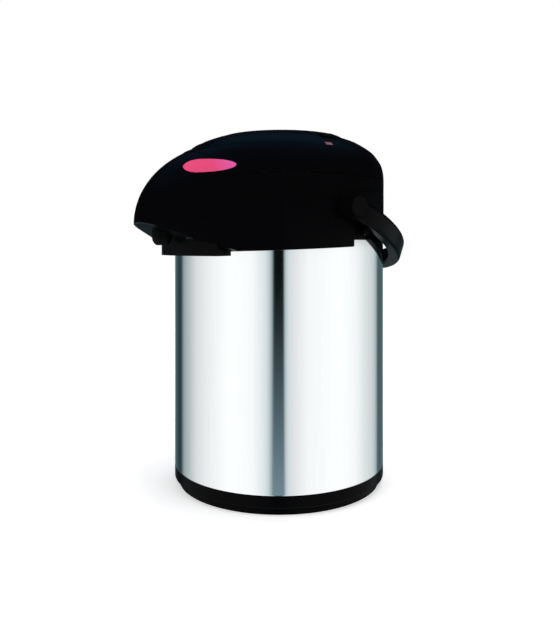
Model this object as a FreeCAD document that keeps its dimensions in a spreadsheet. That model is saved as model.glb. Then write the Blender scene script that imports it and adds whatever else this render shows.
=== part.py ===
import FreeCAD, Part
import math
import os
import re

import Sketcher
from FreeCAD import Placement, Rotation, Vector

# Thermal airpot: a vacuum-insulated jug in a steel shell on a turning foot, with a push-top
# bellows pump in a hinged lid, a fixed spout nose at the front and a bail handle behind.
# Millimetres. +Z is up, the nose points to -Y, the lid's hinge is at +Y, and the origin is the
# centre of the foot's underside.

# ---------------------------------------------------------------- driving sizes
SIZES = {
    # body and base
    "body_radius": 88.0,
    "shell_wall": 0.6,
    "foot_radius": 84.0,
    "foot_height": 5.0,
    "foot_plate": 2.5,
    "foot_rim": 3.0,
    "grip_radius": 71.0,
    "grip_width": 10.0,
    "grip_depth": 1.2,
    "turn_gap": 0.5,
    "base_top": 14.7,
    "base_round": 1.2,
    "base_floor": 2.5,
    "spigot_radius": 10.0,
    "spigot_height": 13.0,
    "running_gap": 0.05,
    "hub_wall": 6.0,
    "washer_thickness": 1.0,
    "pivot_screw_radius": 2.0,
    "spigot_reach": 10.0,
    "spigot_wall": 2.6,
    # vacuum liner
    "liner_radius": 77.0,
    "liner_wall": 1.0,
    "vacuum_gap": 5.0,
    "liner_base": 24.0,
    "liner_shoulder": 188.0,
    "neck_base": 214.0,
    "neck_radius": 43.0,
    "neck_top": 232.0,
    "liner_round": 12.0,
    "cushion_inner": 28.0,
    "cushion_outer": 62.0,
    # head form: dome over the body and the nose's curve
    "head_radius": 88.5,
    "head_wall": 2.2,
    "dome_start": 250.5,
    "dome_rise": 41.0,
    "dome_power": 2.4,
    "dome_top": 286.6,
    "nose_reach": 129.5,
    "nose_tip": 29.0,
    "nose_level": 213.0,
    "nose_rise": 69.0,
    "nose_root": 33.5,
    "rim_height": 196.2,
    "rim_fall": 3.8,
    "rim_step_y": 7.7,
    "rear_rim": 201.7,
    "under_tip": 213.0,
    "under_fall": 0.39,
    "seam": 250.0,
    "seam_gap": 0.4,
    "deck_height": 236.0,
    "deck_thickness": 3.0,
    "deck_bore": 50.0,
    # spout
    "lip_radius": 99.0,
    "lip_angle": 28.0,
    "lip_bottom": 189.0,
    "spout_reach": 109.0,
    "nozzle_bottom": 197.0,
    "nozzle_radius": 6.0,
    "pipe_radius": 4.5,
    "pipe_wall": 1.0,
    "pipe_height": 245.0,
    "tube_reach": 37.5,
    "tube_bottom": 33.0,
    # pump and lid
    "pump_offset": 2.0,
    "plate_radius": 53.0,
    "plate_crown": 3.0,
    "plate_top": 290.0,
    "plate_skirt": 8.0,
    "plate_gap": 0.5,
    "mouth_radius": 31.0,
    "cup_bottom": 228.0,
    "cup_wall": 2.2,
    "bellows_radius": 24.5,
    "bellows_fold": 5.0,
    "bellows_wall": 0.8,
    "spring_radius": 13.0,
    "spring_wire": 1.6,
    "valve_radius": 14.0,
    # hinge, latch, lock
    "hinge_y": 91.5,
    "hinge_radius": 4.2,
    "hinge_pin": 1.6,
    "knuckle_length": 30.0,
    "lug_length": 9.0,
    "latch_y": -70.0,
    "latch_z": 274.2,
    "latch_width": 48.0,
    "latch_rear": -62.0,
    "latch_pin": 1.0,
    "lock_radius": 65.0,
    "lock_length": 14.0,
    "lock_width": 8.0,
    "lock_travel": 10.0,
    "mark_y": -9.0,
    "mark_z": 272.5,
    "mark_length": 5.4,
    "mark_width": 2.2,
    # bail handle
    "bail_pivot_z": 225.5,
    "bail_span": 95.5,
    "bail_reach": 101.6,
    "bail_droop": 22.5,
    "bail_power": 2.0,
    "bail_height": 16.0,
    "bail_thickness": 10.6,
    "bail_eye": 9.5,
    "bail_pin": 4.0,
    "stop_radius": 2.5,
    "stop_place": 22.0,
    # small parts
    "screw_radius": 1.5,
    "screw_head": 3.0,
    "fit_gap": 0.3,
    "cover_screw_x": 29.0,
    "cover_screw_y": 100.0,
    "cover_screw_seat": 203.3,
    "ring_screw_radius": 1.2,
    "ring_screw_circle": 52.6,
    "badge_blunt": 12.0,
    "badge_taper": 29.0,
    "badge_place": 0.76,
    "badge_height": 10.6,
    "badge_z": 256.0,
    "badge_thickness": 0.8,
}

doc = FreeCAD.newDocument("airpot")
sheet = doc.addObject("Spreadsheet::Sheet", "Sizes")
for row, (alias, number) in enumerate(SIZES.items(), start=1):
    sheet.set("A%d" % row, alias)
    sheet.set("B%d" % row, str(number))
    sheet.setAlias("B%d" % row, alias)
doc.recompute()

NODES = []
SCREW_SIDES = (("right", "cover_screw_x"), ("left", "-cover_screw_x"))
RING_SCREWS = (90, 200, 340)
LID_SCREWS = (35, 145, 215, 325)


# ---------------------------------------------------------------- document helpers
def linked(text):
    """The expression with each size's alias written as a reference to the sheet."""
    return re.sub(r"[a-z_]+", lambda word: "Sizes." + word.group() if word.group() in SIZES
                  else word.group(), str(text))


def amount(text):
    """The present value of an expression of sizes."""
    result = sheet.evalExpression(linked(text))
    return float(getattr(result, "Value", result))


def bind(item, prop, text):
    item.setExpression(prop, linked(text))


def place(item, x="0", y="0", z="0", turn=None):
    if turn is not None:
        item.Placement = Placement(Vector(0, 0, 0), turn)
    for axis, text in zip("xyz", (x, y, z)):
        bind(item, "Placement.Base." + axis, text)
    return item


ALONG_X = Rotation(Vector(0, 1, 0), 90)
ALONG_Y = Rotation(Vector(1, 0, 0), -90)


def cylinder(name, radius, height, x="0", y="0", z="0", turn=None):
    item = doc.addObject("Part::Cylinder", name)
    bind(item, "Radius", radius)
    bind(item, "Height", height)
    return place(item, x, y, z, turn)


def box(name, length, width, height, x="0", y="0", z="0"):
    """A box centred on x and y, standing on z."""
    item = doc.addObject("Part::Box", name)
    bind(item, "Length", length)
    bind(item, "Width", width)
    bind(item, "Height", height)
    return place(item, "%s - (%s) / 2" % (x, length), "%s - (%s) / 2" % (y, width), z)


def fuse(name, *items):
    item = doc.addObject("Part::MultiFuse", name)
    item.Shapes = list(items)
    return item


def common(name, *items):
    item = doc.addObject("Part::MultiCommon", name)
    item.Shapes = list(items)
    return item


def cut(name, base, *tools):
    item = doc.addObject("Part::Cut", name)
    item.Base = base
    item.Tool = tools[0] if len(tools) == 1 else fuse(name + "_tools", *tools)
    return item


def tube(name, outer, inner, height, x="0", y="0", z="0", turn=None):
    core = cylinder(name + "_bore", inner, height, x, y, z, turn)
    return cut(name, cylinder(name + "_outside", outer, height, x, y, z, turn), core)


def form(name, shape):
    item = doc.addObject("Part::Feature", name)
    item.Shape = shape
    return item


def outline_sketch(body, plane, corners):
    """A closed polygon on the body's own origin plane, each corner tied to the sheet."""
    sketch = body.newObject("Sketcher::SketchObject", body.Name + "_outline")
    origin = [item for item in body.Origin.OriginFeatures if item.Role == plane][0]
    sketch.AttachmentSupport = (origin, [""])
    sketch.MapMode = "FlatFace"
    points = [Vector(amount(across), amount(up), 0) for across, up in corners]
    count = len(points)
    for index in range(count):
        sketch.addGeometry(Part.LineSegment(points[index], points[(index + 1) % count]), False)
    for index in range(count):
        sketch.addConstraint(Sketcher.Constraint("Coincident", index, 2, (index + 1) % count, 1))
    for index, (point, texts) in enumerate(zip(points, corners)):
        for kind, axis, value, text in (("DistanceX", -2, point.x, texts[0]),
                                        ("DistanceY", -1, point.y, texts[1])):
            if value == 0:
                sketch.addConstraint(Sketcher.Constraint("PointOnObject", index, 1, axis))
            elif value > 0:
                number = sketch.addConstraint(Sketcher.Constraint(kind, -1, 1, index, 1, value))
                sketch.setExpression("Constraints[%d]" % number, linked(text))
            else:
                number = sketch.addConstraint(Sketcher.Constraint(kind, index, 1, -1, 1, -value))
                sketch.setExpression("Constraints[%d]" % number, linked("-(%s)" % text))
    return sketch


def turned(name, corners, y="0"):
    """A body of revolution about the upright line at y, from (radius, height) corners."""
    body = doc.addObject("PartDesign::Body", name)
    sketch = outline_sketch(body, "XZ_Plane", corners)
    turn = body.newObject("PartDesign::Revolution", name + "_turn")
    turn.Profile = sketch
    turn.ReferenceAxis = (sketch, ["V_Axis"])
    turn.Angle = 360
    sketch.Visibility = False
    return place(body, y=y)


def padded(name, plane, corners, length):
    """A polygon on an upright plane, padded both ways to the given length."""
    body = doc.addObject("PartDesign::Body", name)
    sketch = outline_sketch(body, plane, corners)
    pad = body.newObject("PartDesign::Pad", name + "_pad")
    pad.Profile = sketch
    bind(pad, "Length", length)
    pad.Midplane = True
    return body


def soften(body, radius, rings):
    """Fillet the circular edges of a turned body at the given (radius, height) places."""
    doc.recompute()
    targets = [(amount(across), amount(up)) for across, up in rings]
    names = []
    for index, edge in enumerate(body.Tip.Shape.Edges, start=1):
        circle = edge.Curve
        if not isinstance(circle, Part.Circle):
            continue
        if any(abs(circle.Radius - across) < 0.01 and abs(circle.Center.z - up) < 0.01
               for across, up in targets):
            names.append("Edge%d" % index)
    fillet = body.newObject("PartDesign::Fillet", body.Name + "_fillet_%d" % len(body.Group))
    fillet.Base = (body.Group[-2], names)
    bind(fillet, "Radius", radius)
    body.Tip = fillet
    return body


def node(item, label=None):
    """Mark the item as a sub-part of the airpot under its own name."""
    item.Label = label or item.Name
    NODES.append(item)
    return item


# ---------------------------------------------------------------- foot and base
def swivel_foot():
    node(turned("swivel_foot", [
        ("0", "0"), ("grip_radius - grip_width / 2", "0"),
        ("grip_radius - grip_width / 2", "grip_depth"), ("grip_radius + grip_width / 2", "grip_depth"),
        ("grip_radius + grip_width / 2", "0"), ("foot_radius", "0"), ("foot_radius", "foot_height"),
        ("foot_radius - foot_rim", "foot_height"), ("foot_radius - foot_rim", "foot_plate"),
        ("spigot_radius", "foot_plate"), ("spigot_radius", "spigot_height"),
        ("pivot_screw_radius", "spigot_height"), ("pivot_screw_radius", "foot_plate + 1"),
        ("0", "foot_plate + 1")]))
    node(turned("foot_grip", [
        ("grip_radius - grip_width / 2", "0"), ("grip_radius + grip_width / 2", "0"),
        ("grip_radius + grip_width / 2", "grip_depth"), ("grip_radius - grip_width / 2", "grip_depth")]))
    node(turned("glide_ring", [
        ("grip_radius - 15", "foot_plate"), ("grip_radius - 8", "foot_plate"),
        ("grip_radius - 8", "foot_height + turn_gap - 0.2"),
        ("grip_radius - 15", "foot_height + turn_gap - 0.2")]))
    node(turned("pivot_washer", [
        ("pivot_screw_radius + 0.2", "spigot_height"), ("spigot_radius + 4", "spigot_height"),
        ("spigot_radius + 4", "spigot_height + washer_thickness"),
        ("pivot_screw_radius + 0.2", "spigot_height + washer_thickness")]))
    node(turned("pivot_screw", [
        ("0", "foot_plate + 2"), ("pivot_screw_radius", "foot_plate + 2"),
        ("pivot_screw_radius", "spigot_height + washer_thickness"),
        ("pivot_screw_radius * 2.4", "spigot_height + washer_thickness"),
        ("pivot_screw_radius * 2.4", "spigot_height + washer_thickness + 2.4"),
        ("0", "spigot_height + washer_thickness + 2.4")]))


def base_housing():
    floor = "foot_height + turn_gap"
    inside = "body_radius - shell_wall - 0.1"
    base = turned("base_housing", [
        ("spigot_radius + running_gap", floor), ("body_radius", floor), ("body_radius", "base_top"),
        (inside, "base_top"), (inside, "base_top + spigot_reach"),
        (inside + " - spigot_wall", "base_top + spigot_reach"),
        (inside + " - spigot_wall", floor + " + base_floor"),
        ("spigot_radius + hub_wall", floor + " + base_floor"),
        ("spigot_radius + hub_wall", "spigot_height - turn_gap"),
        ("spigot_radius + running_gap", "spigot_height - turn_gap")])
    node(soften(base, "base_round", [("body_radius", floor)]))
    node(turned("liner_cushion", [
        ("cushion_inner", floor + " + base_floor"), ("cushion_outer", floor + " + base_floor"),
        ("cushion_outer", "liner_base"), ("cushion_inner", "liner_base")]))


# ---------------------------------------------------------------- shell and vacuum liner
def rim_cutter(name, gap):
    """All that lies under the head's tilted rim and its raised rear part, lowered by a gap."""
    far = "nose_reach + 20"
    slope = "rim_height - %s + rim_fall / head_radius * (%s)"
    return padded(name, "YZ_Plane", [
        ("-(%s)" % far, slope % (gap, "-(%s)" % far)), ("-(%s)" % far, "foot_height"),
        (far, "foot_height"), (far, "rear_rim - " + gap), ("rim_step_y", "rear_rim - " + gap),
        ("rim_step_y", slope % (gap, "rim_step_y"))], "2 * (%s)" % far)


def outer_shell():
    blank = tube("shell_tube", "body_radius", "body_radius - shell_wall",
                 "rear_rim - base_top", z="base_top")
    node(common("outer_shell", blank, rim_cutter("shell_trim", "0.2")))


def liner():
    outer = turned("liner_outer", [
        ("0", "liner_base"), ("liner_radius", "liner_base"), ("liner_radius", "liner_shoulder"),
        ("neck_radius + 2", "neck_base"), ("neck_radius + 2", "neck_top - liner_wall"),
        ("neck_radius + 2 - liner_wall", "neck_top - liner_wall"),
        ("neck_radius + 2 - liner_wall", "neck_base - liner_wall / 2"),
        ("liner_radius - liner_wall", "liner_shoulder - liner_wall / 2"),
        ("liner_radius - liner_wall", "liner_base + liner_wall"), ("0", "liner_base + liner_wall")])
    soften(outer, "liner_round", [("liner_radius", "liner_base"), ("liner_radius", "liner_shoulder")])
    node(soften(outer, "liner_round - liner_wall", [
        ("liner_radius - liner_wall", "liner_base + liner_wall"),
        ("liner_radius - liner_wall", "liner_shoulder - liner_wall / 2")]))
    wide = "liner_radius - liner_wall - vacuum_gap"
    low = "liner_base + liner_wall + vacuum_gap"
    inner = turned("liner_inner", [
        ("0", low), (wide, low), (wide, "liner_shoulder - 3"),
        ("neck_radius + liner_wall / 2", "neck_base - 3"),
        ("neck_radius + liner_wall / 2", "neck_top - liner_wall"),
        ("neck_radius + 2", "neck_top - liner_wall"), ("neck_radius + 2", "neck_top"),
        ("neck_radius", "neck_top"), ("neck_radius", "neck_base - 3"),
        (wide + " - liner_wall", "liner_shoulder - 3"),
        (wide + " - liner_wall", low + " + liner_wall"), ("0", low + " + liner_wall")])
    soften(inner, "liner_round", [(wide, low), (wide, "liner_shoulder - 3")])
    node(soften(inner, "liner_round - liner_wall", [
        (wide + " - liner_wall", low + " + liner_wall"),
        (wide + " - liner_wall", "liner_shoulder - 3")]))
    node(turned("liner_gasket", [
        ("neck_radius + 0.5", "neck_top"), ("neck_radius + 6", "neck_top"),
        ("neck_radius + 6", "deck_height - 2"), ("neck_radius + 0.5", "deck_height - 2")]))


# ---------------------------------------------------------------- head form
S = {alias: float(sheet.get(alias)) for alias in SIZES}


def dome_radius(height):
    """Radius of the dome at a height: upright below its start, a soft ellipse above."""
    climb = max(0.0, height - S["dome_start"]) / S["dome_rise"]
    return S["head_radius"] * (1 - climb ** S["dome_power"]) ** (1 / S["dome_power"])


def nose_length(height):
    """Reach of the nose at a height: a quarter ellipse over its widest level."""
    climb = max(0.0, height - S["nose_level"]) / S["nose_rise"]
    swell = math.sqrt(max(0.0, 1 - climb ** 2))
    return S["nose_root"] + (S["nose_reach"] - S["nose_root"]) * swell


def head_slice(height, inset):
    """Level outline of the head: the dome's circle and the nose's tip joined by tangents."""
    radius = dome_radius(height + inset) - inset
    reach = max(nose_length(height + inset) - inset, radius + 0.3)
    tip = min(S["nose_tip"] - inset, radius * 0.6)
    centre = Vector(0, tip - reach, height)
    lean = math.asin((radius - tip) / (reach - tip))
    outward = Vector(math.cos(lean), -math.sin(lean), 0)
    middle = Vector(math.cos((math.pi / 2 + lean) / 2), -math.sin((math.pi / 2 + lean) / 2), 0)
    behind = Vector(math.cos((math.pi / 2 - lean) / 2), math.sin((math.pi / 2 - lean) / 2), 0)
    level = Vector(0, 0, height)
    right = [level + Vector(0, radius, 0), level + behind * radius, level + outward * radius,
             centre + outward * tip, centre + middle * tip, centre + Vector(0, -tip, 0)]
    left = [Vector(-point.x, point.y, point.z) for point in right]
    return Part.Wire([
        Part.Arc(right[0], right[1], right[2]).toShape(), Part.makeLine(right[2], right[3]),
        Part.Arc(right[3], right[4], right[5]).toShape(), Part.Arc(left[5], left[4], left[3]).toShape(),
        Part.makeLine(left[3], left[2]), Part.Arc(left[2], left[1], left[0]).toShape()])


def head_solid(inset):
    """The head's whole form, or its hollow when inset: a prism below the nose's widest level
    and a smooth loft from there to the dome's top."""
    low = S["nose_level"]
    high = S["dome_top"] - inset
    steps = 14
    heights = [low + (high - low) * math.sin(math.pi / 2 * step / steps) for step in range(steps + 1)]
    loft = Part.makeLoft([head_slice(height, inset) for height in heights], True, False)
    bottom = S["lip_bottom"] - 10 - inset
    prism = Part.Face(head_slice(low, inset)).extrude(Vector(0, 0, bottom - low))
    return loft.fuse(prism).removeSplitter()


def under_cutter(name, lift):
    """Everything below the nose's sloping underside, raised by a lift, outside the collar."""
    far = "nose_reach + 20"
    slope = "under_tip + %s + under_fall * (%s - nose_reach + 3)"
    low = "lip_bottom - 20"
    block = padded(name + "_block", "YZ_Plane", [
        ("-(%s)" % far, slope % (lift, far)), ("-(%s)" % far, low), ("-20", low),
        ("-20", slope % (lift, "20"))], "2 * (%s)" % far)
    return block


def shoulder(head, hollow):
    """Collar, nose, mouth deck, hinge lugs and handle bosses in one moulding."""
    skin = cut("shoulder_skin", head, hollow)
    below = cut("under_space", under_cutter("under", "0"),
                cylinder("collar_keep", "head_radius + 0.1", "400"))
    lid_space = cylinder("lid_space", "head_radius + seam_gap", "100", z="seam")
    outside = cut("shoulder_outside", skin, lid_space, below)
    collar = tube("collar_wall", "head_radius - 0.4", "head_radius - head_wall - 0.4",
                  "seam - lip_bottom - 0.2", z="lip_bottom")
    back = common("nose_back", tube("nose_back_wall", "head_radius + seam_gap + head_wall",
                                    "head_radius + seam_gap", "60", z="deck_height"), head)
    deck = tube("deck", "head_radius - 1", "deck_bore", "deck_thickness", z="deck_height")
    upper = cut("shoulder_upper", fuse("shoulder_walls", outside, collar, back, deck),
                rim_cutter("shoulder_trim", "0"))
    inside = "body_radius - shell_wall - 0.1"
    spigot = tube("shoulder_spigot", inside, inside + " - spigot_wall",
                  "rear_rim + 4 - rim_height + rim_fall + spigot_reach",
                  z="rim_height - rim_fall - spigot_reach")
    lugs = [cylinder("hinge_lug_%s" % side, "hinge_radius", "lug_length",
                     x="%s(knuckle_length / 2 + lug_length / 2 + 0.5) - lug_length / 2" % sign,
                     y="hinge_y", z="seam", turn=ALONG_X) for side, sign in (("a", ""), ("b", "-"))]
    feet = [box("hinge_root_%s" % side, "lug_length", "hinge_y - head_radius + 2 + hinge_radius / 2",
                "hinge_radius + 6", x="%s(knuckle_length / 2 + lug_length / 2 + 0.5)" % sign,
                y="(hinge_y + hinge_radius / 2 + head_radius - 2) / 2",
                z="seam - hinge_radius - 6") for side, sign in (("a", ""), ("b", "-"))]
    bosses = cylinder("bail_bosses", "bail_pin + 3", "2 * (bail_span - bail_thickness / 2 - 0.4)",
                      x="-(bail_span - bail_thickness / 2 - 0.4)", z="bail_pivot_z", turn=ALONG_X)
    room = box("boss_room", "2 * (head_radius - 12)", "60", "60", z="bail_pivot_z - 40")
    drop = "(bail_height / 2 + stop_radius + fit_gap)"
    stops = cylinder("bail_stops", "stop_radius", "2 * (head_radius + 4)", x="-(head_radius + 4)",
                     y="stop_place * cos(bail_droop) - %s * sin(bail_droop)" % drop,
                     z="bail_pivot_z - stop_place * sin(bail_droop) - %s * cos(bail_droop)" % drop,
                     turn=ALONG_X)
    posts = [cylinder("nose_post_" + side, "screw_radius + 2.7", "20", x=x, y="-cover_screw_y",
                      z="cover_screw_seat + 1.2") for side, x in SCREW_SIDES]
    grips = cut("nose_posts", common("nose_post_pair", fuse("nose_post_blanks", *posts), head),
                under_cutter("post_floor", "head_wall + 0.1"))
    pilots = [cylinder("nose_pilot_" + side, "screw_radius", "16", x=x, y="-cover_screw_y",
                       z="cover_screw_seat") for side, x in SCREW_SIDES]
    deck_pilots = [cylinder("deck_pilot_%d" % angle, "ring_screw_radius", "10",
                            x="ring_screw_circle * cos(%d)" % angle,
                            y="ring_screw_circle * sin(%d)" % angle, z="deck_height - 1")
                   for angle in RING_SCREWS]
    studs = cut("bail_stud_pair", fuse("bail_studs", bosses, stops), room)
    whole = fuse("shoulder_whole", upper, spigot, studs, grips, *lugs, *feet)
    knuckle_room = cylinder("knuckle_room", "hinge_radius + 0.5", "knuckle_length + 1",
                            x="-(knuckle_length + 1) / 2", y="hinge_y", z="seam", turn=ALONG_X)
    pin_hole = cylinder("lug_hole", "hinge_pin", "knuckle_length + 3 * lug_length",
                        x="-(knuckle_length + 3 * lug_length) / 2", y="hinge_y", z="seam", turn=ALONG_X)
    pipe_hole = cylinder("pipe_hole", "pipe_radius + fit_gap", "30", y="-(head_radius + 15)",
                         z="pipe_height", turn=ALONG_Y)
    notch = box("pipe_notch", "2 * pipe_radius + 0.2", "head_wall + 3", "6", y="-(head_radius - 2.5)",
                z="pipe_height + 1")
    bail_hole = cylinder("bail_hole", "bail_pin - 1", "2 * bail_span", x="-bail_span",
                         z="bail_pivot_z", turn=ALONG_X)
    node(cut("shoulder", whole, knuckle_room, pin_hole, pipe_hole, notch, bail_hole, *pilots,
             *deck_pilots))


# ---------------------------------------------------------------- spout
def spout():
    """Underside cover with its drip lip, the nozzle and the water way."""
    snug = form("cover_room", head_solid(S["head_wall"] + S["fit_gap"]))
    above = under_cutter("cover_floor", "0")
    slab = common("cover_slab", snug, under_cutter("cover_ceiling", "head_wall"))
    plate = cut("cover_plate", slab, above, cylinder("cover_core", "head_radius + 0.4", "400"),
                rim_cutter("cover_trim", "0"))
    ring = tube("lip_ring", "lip_radius", "head_radius + 0.4", "40", z="lip_bottom")
    reach = "(lip_radius + 10)"
    wedge = padded("lip_wedge", "XY_Plane", [
        ("0", "0"), (reach + " * tan(lip_angle)", "-(%s)" % reach),
        ("-(%s * tan(lip_angle))" % reach, "-(%s)" % reach)], "800")
    lip = common("lip_sector", ring, wedge, under_cutter("lip_ceiling", "0"))
    cover = fuse("cover_whole", plate, lip)
    hole = cylinder("nozzle_hole", "nozzle_radius + 1.5", "40", y="-spout_reach", z="lip_bottom + 1")
    screw_holes = []
    screws = []
    for side, x in SCREW_SIDES:
        seat = cylinder("cover_seat_" + side, "screw_head + 0.2", "20", x=x, y="-cover_screw_y",
                        z="cover_screw_seat - 20")
        way = cylinder("cover_way_" + side, "screw_radius + 0.2", "20", x=x, y="-cover_screw_y",
                       z="cover_screw_seat - 2")
        screw_holes += [seat, way]
        shank = cylinder("cover_shank_" + side, "screw_radius", "13", x=x, y="-cover_screw_y",
                         z="cover_screw_seat - 1")
        cap = cylinder("cover_cap_" + side, "screw_head", "1.8", x=x, y="-cover_screw_y",
                       z="cover_screw_seat - 1.8")
        screws.append(fuse("cover_screw_" + side, shank, cap))
    node(cut("spout_cover", cover, hole, *screw_holes))
    group = doc.addObject("Part::Compound", "cover_screws")
    group.Links = screws
    node(group)
    bore = "pipe_radius + 0.1"
    node(turned("nozzle", [
        (bore + " - pipe_wall", "nozzle_bottom"), ("nozzle_radius - 1.8", "nozzle_bottom"),
        ("nozzle_radius", "nozzle_bottom + 1.8"), ("nozzle_radius + 1.5", "nozzle_bottom + 5"),
        ("nozzle_radius + 1.5", "under_tip + 2"),
        (bore, "under_tip + 2"), (bore, "nozzle_bottom + 7"),
        (bore + " - pipe_wall", "nozzle_bottom + 7")], y="-spout_reach"))


def pipe_path(bend):
    """Centre line of the outlet pipe: up out of the mouth ring, forward, and down the nose."""
    rear, front = -S["tube_reach"], -S["spout_reach"]
    low, top = S["deck_height"] + 2.7, S["pipe_height"]
    end = S["nozzle_bottom"] + 7.2
    slant = math.sqrt(0.5)
    start = Vector(0, rear, low)
    up = Vector(0, rear, top - bend)
    up_middle = Vector(0, rear - bend * (1 - slant), top - bend * (1 - slant))
    along = Vector(0, rear - bend, top)
    across = Vector(0, front + bend, top)
    down_middle = Vector(0, front + bend * (1 - slant), top - bend * (1 - slant))
    down = Vector(0, front, top - bend)
    edges = [Part.Arc(up, up_middle, along).toShape(), Part.makeLine(along, across),
             Part.Arc(across, down_middle, down).toShape(),
             Part.makeLine(down, Vector(0, front, end))]
    if (up - start).Length > 0.01:
        edges.insert(0, Part.makeLine(start, up))
    return start, Part.Wire(edges)


def pipes():
    start, path = pipe_path(S["pipe_radius"] + 1.7)
    skins = []
    for radius in (S["pipe_radius"], S["pipe_radius"] - S["pipe_wall"]):
        ring = Part.Wire(Part.makeCircle(radius, start, Vector(0, 0, 1)))
        skins.append(path.makePipeShell([ring], True, False))
    node(form("outlet_pipe", skins[0].cut(skins[1])))
    node(tube("dip_tube", "pipe_radius", "pipe_radius - pipe_wall",
              "deck_height + 2.5 - tube_bottom", y="-tube_reach", z="tube_bottom"))
    node(tube("pipe_seal", "pipe_radius + 1.7", "pipe_radius", "2.1", y="-tube_reach",
              z="deck_height + 0.5"))


def mouth_ring():
    """Insert that clamps the liner's neck and carries the pump's seat and the tube's port."""
    low = "deck_height - 2"
    high = "deck_height + deck_thickness + 3"
    blank = turned("mouth_blank", [
        ("mouth_radius - pump_offset - 4", low), ("deck_bore - 0.3", low),
        ("deck_bore - 0.3", "deck_height + deck_thickness"),
        ("deck_bore + 5", "deck_height + deck_thickness"), ("deck_bore + 5", high),
        ("mouth_radius - pump_offset - 4", high)])
    seat = cylinder("mouth_opening", "mouth_radius", "20", y="pump_offset", z=low + " - 5")
    port = cylinder("tube_port", "pipe_radius + fit_gap", "20", y="-tube_reach", z=low + " - 5")
    pocket = cylinder("seal_pocket", "pipe_radius + 1.7", "20", y="-tube_reach", z="deck_height + 0.5")
    channel = cylinder("pipe_channel", "pipe_radius + 1.7", "deck_bore + 10 - tube_reach",
                       y="-(deck_bore + 10)", z="pipe_height", turn=ALONG_Y)
    ways, screws = [], []
    for angle in RING_SCREWS:
        x, y = "ring_screw_circle * cos(%d)" % angle, "ring_screw_circle * sin(%d)" % angle
        ways.append(cylinder("ring_way_%d" % angle, "ring_screw_radius + 0.2", "20", x=x, y=y,
                             z="deck_height"))
        shank = cylinder("ring_shank_%d" % angle, "ring_screw_radius", "7", x=x, y=y, z=high + " - 6")
        cap = cylinder("ring_cap_%d" % angle, "ring_screw_radius + 1", "1.4", x=x, y=y, z=high)
        screws.append(fuse("ring_screw_%d" % angle, shank, cap))
    node(cut("mouth_ring", blank, seat, port, pocket, channel, *ways))
    group = doc.addObject("Part::Compound", "mouth_ring_screws")
    group.Links = screws
    node(group)


# ---------------------------------------------------------------- lid and pump
def lid_cover(head, hollow):
    """Domed lid: skin, front wall against the nose, push-plate well, bosses and hinge knuckle."""
    bottom = "seam + seam_gap"
    reach = cylinder("lid_reach", "head_radius + 0.1", "60", z=bottom)
    skin = common("lid_skin", cut("lid_full_skin", head, hollow), reach)
    front = common("lid_front", tube("lid_front_wall", "head_radius + 0.1",
                                     "head_radius - head_wall - 0.4", "60", z=bottom), head)
    well = common("plate_well", tube("plate_well_wall", "plate_radius + plate_gap + head_wall",
                                     "plate_radius + plate_gap", "40", y="pump_offset",
                                     z="plate_top - plate_crown - plate_skirt - 12"), head)
    posts = []
    for index, angle in enumerate(LID_SCREWS):
        posts.append(cylinder("lid_post_%d" % index, "screw_radius + 2.5", "60",
                              x="(head_radius - 16) * cos(%d)" % angle,
                              y="(head_radius - 16) * sin(%d)" % angle, z="seam + seam_gap + 2.4"))
    ears = box("latch_ears", "latch_width + 10", "8", "60", y="latch_y", z="latch_z - 4")
    studs = common("lid_studs", fuse("lid_stud_blanks", ears, *posts), head)
    knuckle = cylinder("knuckle", "hinge_radius", "knuckle_length", x="-knuckle_length / 2",
                       y="hinge_y", z="seam", turn=ALONG_X)
    root = box("knuckle_root", "knuckle_length", "hinge_y - head_radius + 2", "hinge_radius + 5",
               y="(hinge_y + head_radius - 2) / 2", z=bottom)
    whole = fuse("lid_whole", skin, front, well, studs, knuckle, root)
    opening = cylinder("plate_opening", "plate_radius + plate_gap", "60", y="pump_offset",
                       z="plate_top - plate_crown - plate_skirt - 20")
    latch_room = box("latch_room", "latch_width + 0.8", "latch_rear + head_radius + 3", "80",
                     y="(latch_rear + 0.5 - head_radius - 2.5) / 2", z="seam - 1")
    pin_hole = cylinder("knuckle_hole", "hinge_pin + running_gap", "knuckle_length + 2",
                        x="-(knuckle_length + 2) / 2", y="hinge_y", z="seam", turn=ALONG_X)
    ear_hole = cylinder("ear_hole", "latch_pin", "latch_width + 8", x="-(latch_width + 8) / 2",
                        y="latch_y", z="latch_z", turn=ALONG_X)
    slot = box("lock_slot", "lock_width - 3", "lock_length + lock_travel - 3", "60",
               x="lock_radius", y="lock_travel / 2", z="seam + 20")
    pilot_holes = [cylinder("lid_pilot_%d" % index, "screw_radius", "14",
                            x="(head_radius - 16) * cos(%d)" % angle,
                            y="(head_radius - 16) * sin(%d)" % angle, z=bottom)
                   for index, angle in enumerate(LID_SCREWS)]
    node(cut("lid_cover", whole, opening, latch_room, pin_hole, ear_hole, slot, *pilot_holes))


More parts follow.
